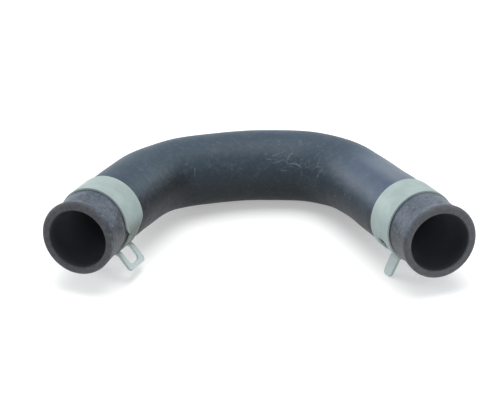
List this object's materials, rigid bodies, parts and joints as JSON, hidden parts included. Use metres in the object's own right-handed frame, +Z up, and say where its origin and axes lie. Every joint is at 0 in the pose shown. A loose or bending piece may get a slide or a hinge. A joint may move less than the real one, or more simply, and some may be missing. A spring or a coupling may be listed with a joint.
{
  "type": "condensate drain hose",
  "caption": "U-shaped moulded rubber hose that carries liquid round a turn, with a spring band clamp behind each mouth.",
  "frame": {"origin": "under the middle of the whole, on the surface that the hose rests on", "axes": "+Z up as it lies free, +Y from the mouths towards the middle of the U, +X from the left mouth to the right mouth"},
  "size_m": [0.153, 0.0862, 0.0366],
  "materials": {
    "rubber": "matt moulded rubber, slate blue-grey on top and charcoal below, dusty at both end stubs",
    "coated_steel": "satin, pale grey-green corrosion coating on spring steel"
  },
  "bodies": {
    "root": {"hose": "rubber", "left_clamp": "coated_steel", "right_clamp": "coated_steel"}
  },
  "joints": []
}
